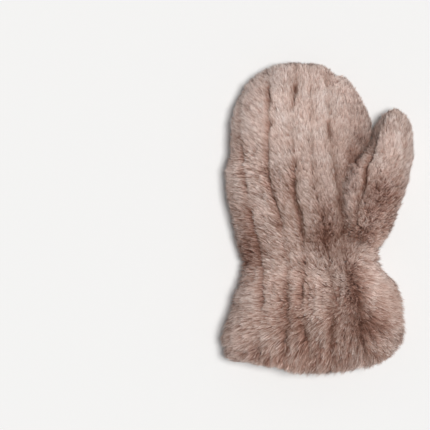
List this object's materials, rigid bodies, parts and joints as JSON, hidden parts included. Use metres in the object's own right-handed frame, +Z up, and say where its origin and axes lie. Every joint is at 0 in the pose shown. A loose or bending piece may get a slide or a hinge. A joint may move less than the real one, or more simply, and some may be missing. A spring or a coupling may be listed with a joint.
{
  "type": "fur mitten",
  "caption": "Right-hand mitten of deep-pile fur in long strips, with a full thumb, a gathered wrist and a flared open cuff, lying palm up.",
  "frame": {"origin": "middle of the mitten's outline, on the surface it lies on", "axes": "+Y from the cuff's open end to the finger tips, +X towards the thumb, +Z up out of the palm"},
  "size_m": [0.1764, 0.2874, 0.0522],
  "materials": {
    "palm_fur": "soft matt pile",
    "back_fur": "soft matt pile",
    "thumb_fur": "soft matt pile"
  },
  "bodies": {
    "root": {"hand_palm": "palm_fur", "hand_back": "back_fur", "cuff_palm": "palm_fur", "cuff_back": "back_fur", "thumb_front": "thumb_fur", "thumb_back": "thumb_fur"}
  },
  "joints": []
}
